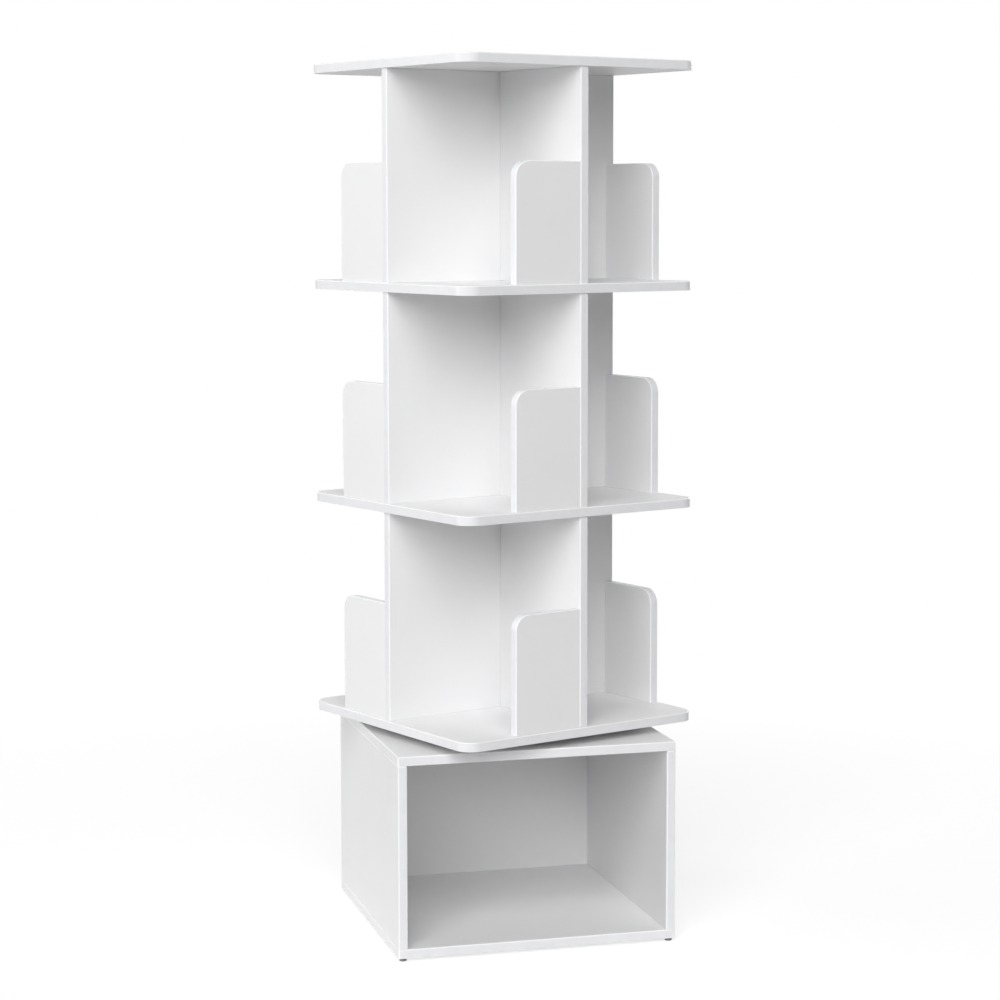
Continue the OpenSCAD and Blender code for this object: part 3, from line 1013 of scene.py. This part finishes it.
@dataclass
class BaseCabinet:
    """The low open cabinet that stands on the floor and carries the turntable.

    Attributes:
        body: The CAD body of the cabinet.
        board_round: The rounding of the boards' open edges.
        side_round: The rounding of the sides' upper edges, just under that of their open ones.
        crisp_round: The rounding of the top panel's lower edges, which close on the sides.
        glide_pin: The radius of a glide's pin.
        glide_rib: The sole and the rib from the floor up, as shares of the radius and of the rise.
        facets: Facets round a glide.
    """

    body: str = "base"
    board_round: float = 2.0 * MM
    side_round: float = 1.9 * MM
    crisp_round: float = 0.12 * MM
    glide_pin: float = 2.0 * MM
    glide_rib: Profile = (
        (0.0, 0.0), (0.80, 0.0), (0.90, 0.05), (0.97, 0.14), (1.0, 0.28), (1.0, 0.64), (0.93, 0.70),
        (0.93, 0.80), (1.0, 0.86), (1.0, 1.0),
    )
    facets: int = 32

    def build(self) -> None:
        """Build the boards, caps and glides."""
        Board("base_bottom_panel", self.body, screws="base_screws", free_round=self.board_round).build()
        for node in ("base_left_side", "base_right_side"):
            Board(
                node, self.body, joints=UPRIGHT, free_round=self.board_round, joint_round=self.side_round
            ).build()
        Board("base_back_panel", self.body, joints=UPRIGHT | {Side.LEFT, Side.RIGHT}).build()
        Board(
            "base_top_panel", self.body, free_round=self.board_round, under_round=self.crisp_round
        ).build()
        CoverCaps("base_cam_caps", self.body).build()
        self.glides()

    def glides(self) -> bpy.types.Object:
        """Turn the ribbed plastic glides under the cabinet's corners.

        Returns:
            The glides' object.
        """
        shape = bmesh.new()
        rise = node_box("base_bottom_panel").low.z
        for foot in node_islands("feet"):
            radius = foot.size.x / 2
            place = Matrix.Translation((foot.middle.x, foot.middle.y, foot.low.z))
            profile = [(radius * across, rise * up) for across, up in self.glide_rib]
            profile += [(self.glide_pin, rise), (self.glide_pin, foot.size.z), (0.0, foot.size.z)]
            spun(shape, profile, self.facets, place)
        piece = hang("feet_glides", shape, [GREY_GLIDE], self.body)
        even_normals(piece)
        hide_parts("feet")
        return piece


@dataclass
class ShelfTower:
    """The turning tower: a deck, two shelves, a top and three crosses of partitions with their stops.

    Attributes:
        body: The CAD body of the tower.
        rest_turn: The tower's turn against the cabinet at rest, in degrees.
        shelf_corner: The radius of the shelves' corners.
        stop_corner: The radius of a stop's upper free corner.
    """

    body: str = "tower"
    rest_turn: float = 20.25
    shelf_corner: float = 28.0 * MM
    stop_corner: float = 25.0 * MM

    def build(self) -> None:
        """Build the shelves, then each tier on them."""
        for node, screws in (
            ("tower_deck", "stop_screws"), ("lower_shelf", "stop_screws"), ("upper_shelf", "stop_screws"),
            ("top_panel", ""),
        ):
            Board(
                node, self.body, self.rest_turn, Outline.ALL_ROUND, self.shelf_corner, screws=screws
            ).build()
        for tier in Tier:
            self.cross(tier)
            self.stops(tier)
        CoverCaps("partition_cam_caps", self.body, self.rest_turn).build()

    def cross(self, tier: Tier) -> None:
        """Build a tier's long partition and its two short ones.

        Args:
            tier: The storey they stand in.
        """
        Board(f"{tier.value}_long_partition", self.body, self.rest_turn, joints=UPRIGHT).build()
        for wing in (Wing.FRONT, Wing.BACK):
            Board(
                f"{tier.value}_{wing.name.lower()}_partition", self.body, self.rest_turn + wing.value,
                joints=UPRIGHT | {Side.LEFT},
            ).build()

    def stops(self, tier: Tier) -> None:
        """Build a tier's four half-height stops, one beside each wing's outer edge.

        Args:
            tier: The storey they stand in.
        """
        for wing in Wing:
            Board(
                f"{tier.value}_{wing.name.lower()}_stop", self.body, self.rest_turn + wing.value,
                Outline.ONE_ROUND, self.stop_corner, joints=frozenset({Side.DOWN, Side.BACK}),
            ).build()


@dataclass(frozen=True)
class Lamp:
    """A large square lamp that points at the object and isn't itself in the picture.

    Attributes:
        name: The lamp's name.
        towards: Its direction from the object.
        watts: Its power.
        mirrored: Whether glossy faces show it.
        side: The side of its face.
        distance: Its distance from the point that it aims at.
    """

    name: str
    towards: Triple
    watts: float
    mirrored: bool = True
    side: float = 7.0
    distance: float = 9.0

    def hang(self, aim: float) -> None:
        """Hang the lamp in its place.

        Args:
            aim: The height on the object's axis that it points at.
        """
        towards = Vector(self.towards).normalized()
        data = bpy.data.lights.new(self.name, "AREA")
        data.energy = self.watts
        data.size = self.side
        lamp = bpy.data.objects.new(self.name, data)
        lamp.location = Vector((0.0, 0.0, aim)) + towards * self.distance
        lamp.rotation_euler = towards.to_track_quat("Z", "Y").to_euler()
        lamp.visible_camera = False
        lamp.visible_glossy = self.mirrored
        bpy.context.scene.collection.objects.link(lamp)


@dataclass
class Studio:
    """A pale floor, a white surround, soft lamps and the camera.

    Attributes:
        floor_side: The side of the square floor.
        floor_cells: The cells along a side of the floor's mesh.
        floor_tones: The colour by which the floor lights the object, beside it and further out.
        floor_shown: The floor's colour for the camera.
        floor_glow: The light that lifts the lit floor to white for the camera.
        floor_fade: Where the floor starts and ends fading to plain white, from the object's axis.
        ambient: The strength of the even light from all round.
        ambient_tint: The colour of that light.
        lamps: The lamps round the object.
        aim: The height that the lamps point at.
        camera_turn: Where the camera stands round the object, in degrees.
        camera_swing: How far the camera swings from the object's axis, in degrees.
        camera_tilt: How far the camera leans to its right, in degrees.
        camera_reach: The camera's distance from the object's axis.
        camera_height: The camera's height.
        camera_dip: How far the camera looks down, in degrees.
        lens: The camera's focal length in millimetres.
        sensor: The width of the camera's sensor in millimetres.
        shift: The camera's upward shift, as a share of the frame.
    """

    floor_side: float = 60.0
    floor_cells: int = 8
    floor_tones: tuple[float, float] = (0.82, 0.42)
    floor_shown: float = 0.45
    floor_glow: float = 0.68
    floor_fade: tuple[float, float] = (0.5, 1.8)
    ambient: float = 0.14
    ambient_tint: Colour = (0.985, 0.99, 1.0)
    lamps: tuple[Lamp, ...] = (
        Lamp("key_lamp", (-0.318, -0.786, 0.53), 760.0, mirrored=False),
        Lamp("side_lamp", (-0.966, 0.228, 0.122), 340.0),
        Lamp("back_lamp", (0.78, 0.61, 0.12), 340.0),
    )
    aim: float = 0.7
    camera_turn: float = -15.008
    camera_swing: float = 0.026
    camera_tilt: float = 0.080
    camera_reach: float = 4.2849
    camera_height: float = 1.1918
    camera_dip: float = 5.649
    lens: float = 93.39
    sensor: float = 36.0
    shift: float = -0.038

    def build(self) -> None:
        """Set the floor, the surround, the lamps and the camera."""
        bpy.context.scene.view_settings.view_transform = "Standard"
        self.floor()
        self.surround()
        for lamp in self.lamps:
            lamp.hang(self.aim)
        self.camera()

    @staticmethod
    def seen(nodes: bpy.types.Nodes, links: bpy.types.NodeLinks) -> bpy.types.NodeSocket:
        """Tell the rays that show the background from those that light the object.

        Args:
            nodes: The tree's nodes.
            links: The tree's links.

        Returns:
            1 for camera, glossy and transmission rays, or else 0.
        """
        path = nodes.new("ShaderNodeLightPath")
        total = path.outputs["Is Camera Ray"]
        for kind in ("Is Glossy Ray", "Is Transmission Ray"):
            either = nodes.new("ShaderNodeMath")
            either.operation = "MAXIMUM"
            links.new(total, either.inputs[0])
            links.new(path.outputs[kind], either.inputs[1])
            total = either.outputs["Value"]
        return total

    def floor(self) -> None:
        """Lay the pale floor, which keeps the object's shadow and fades to white further out."""
        shape = bmesh.new()
        bmesh.ops.create_grid(
            shape, x_segments=self.floor_cells, y_segments=self.floor_cells, size=self.floor_side / 2
        )
        mesh = bpy.data.meshes.new("studio_floor")
        shape.to_mesh(mesh)
        shape.free()
        mesh.materials.append(self.floor_coat())
        floor = bpy.data.objects.new("studio_floor", mesh)
        bpy.context.scene.collection.objects.link(floor)

    def floor_coat(self) -> bpy.types.Material:
        """Coat the floor in a tone for the object's light and another for the camera.

        Returns:
            The floor's material.
        """
        sheet = NodeSheet("studio_floor")
        sheet.nodes.remove(sheet.shader)
        seen = self.seen(sheet.nodes, sheet.links)
        reach = sheet.put("ShaderNodeVectorMath", {})
        reach.operation = "LENGTH"
        sheet.links.new(sheet.place, reach.inputs[0])
        start, end = self.floor_fade
        beside, outer = self.floor_tones
        far = sheet.put("ShaderNodeMapRange", {
            "Value": reach.outputs["Value"], "From Min": start, "From Max": end,
        }).outputs["Result"]
        tone = sheet.put("ShaderNodeMapRange", {
            "Value": far, "To Min": beside, "To Max": outer,
        }).outputs["Result"]
        shown = sheet.put("ShaderNodeMapRange", {
            "Value": seen, "To Min": tone, "To Max": self.floor_shown,
        }).outputs["Result"]
        paint = sheet.put("ShaderNodeBsdfDiffuse", {"Color": shown})
        glow = sheet.put("ShaderNodeEmission", {"Strength": self.times(sheet, seen, self.floor_glow)})
        near = sheet.put("ShaderNodeAddShader", {})
        sheet.links.new(paint.outputs["BSDF"], near.inputs[0])
        sheet.links.new(glow.outputs["Emission"], near.inputs[1])
        white = sheet.put("ShaderNodeEmission", {"Strength": 1.0})
        mix = sheet.put("ShaderNodeMixShader", {"Fac": self.times(sheet, seen, far)})
        sheet.links.new(near.outputs["Shader"], mix.inputs[1])
        sheet.links.new(white.outputs["Emission"], mix.inputs[2])
        sheet.links.new(mix.outputs["Shader"], sheet.output.inputs["Surface"])
        return sheet.material

    @staticmethod
    def times(
        sheet: NodeSheet, first: bpy.types.NodeSocket, second: bpy.types.NodeSocket | float
    ) -> bpy.types.NodeSocket:
        """Multiply a value by another value or a number.

        Args:
            sheet: The node tree.
            first: The value.
            second: The other value, or a number.

        Returns:
            The product.
        """
        product = sheet.nodes.new("ShaderNodeMath")
        product.operation = "MULTIPLY"
        sheet.links.new(first, product.inputs[0])
        if isinstance(second, bpy.types.NodeSocket):
            sheet.links.new(second, product.inputs[1])
        else:
            product.inputs[1].default_value = second
        return product.outputs["Value"]

    def surround(self) -> None:
        """Light the object evenly from all round, and show white behind it."""
        world = bpy.data.worlds.new("studio_surround")
        bpy.context.scene.world = world
        world.use_nodes = True
        nodes = world.node_tree.nodes
        links = world.node_tree.links
        nodes.clear()
        light = nodes.new("ShaderNodeBackground")
        light.inputs["Strength"].default_value = self.ambient
        light.inputs["Color"].default_value = (*self.ambient_tint, 1.0)
        white = nodes.new("ShaderNodeBackground")
        white.inputs["Color"].default_value = (1.0, 1.0, 1.0, 1.0)
        mix = nodes.new("ShaderNodeMixShader")
        links.new(self.seen(nodes, links), mix.inputs["Fac"])
        links.new(light.outputs["Background"], mix.inputs[1])
        links.new(white.outputs["Background"], mix.inputs[2])
        output = nodes.new("ShaderNodeOutputWorld")
        links.new(mix.outputs["Shader"], output.inputs["Surface"])

    def camera(self) -> None:
        """Stand the camera where the photograph was taken."""
        data = bpy.data.cameras.new("studio_camera")
        data.sensor_width = self.sensor
        data.lens = self.lens
        data.shift_y = self.shift
        camera = bpy.data.objects.new("studio_camera", data)
        turn = math.radians(self.camera_turn)
        camera.location = (
            self.camera_reach * math.sin(turn), -self.camera_reach * math.cos(turn), self.camera_height
        )
        camera.rotation_euler = (
            math.radians(90.0 - self.camera_dip), math.radians(self.camera_tilt),
            turn + math.radians(self.camera_swing),
        )
        bpy.context.scene.collection.objects.link(camera)
        bpy.context.scene.camera = camera


def main() -> None:
    """Build the pieces in order and dress what is carried over."""
    logging.basicConfig(level=logging.INFO, format="%(name)s: %(message)s")
    Studio().build()
    BaseCabinet().build()
    ShelfTower().build()
    for finish, nodes in CARRIED_OVER.items():
        for node in nodes:
            finish.onto(node)


if __name__ == "__main__":
    main()
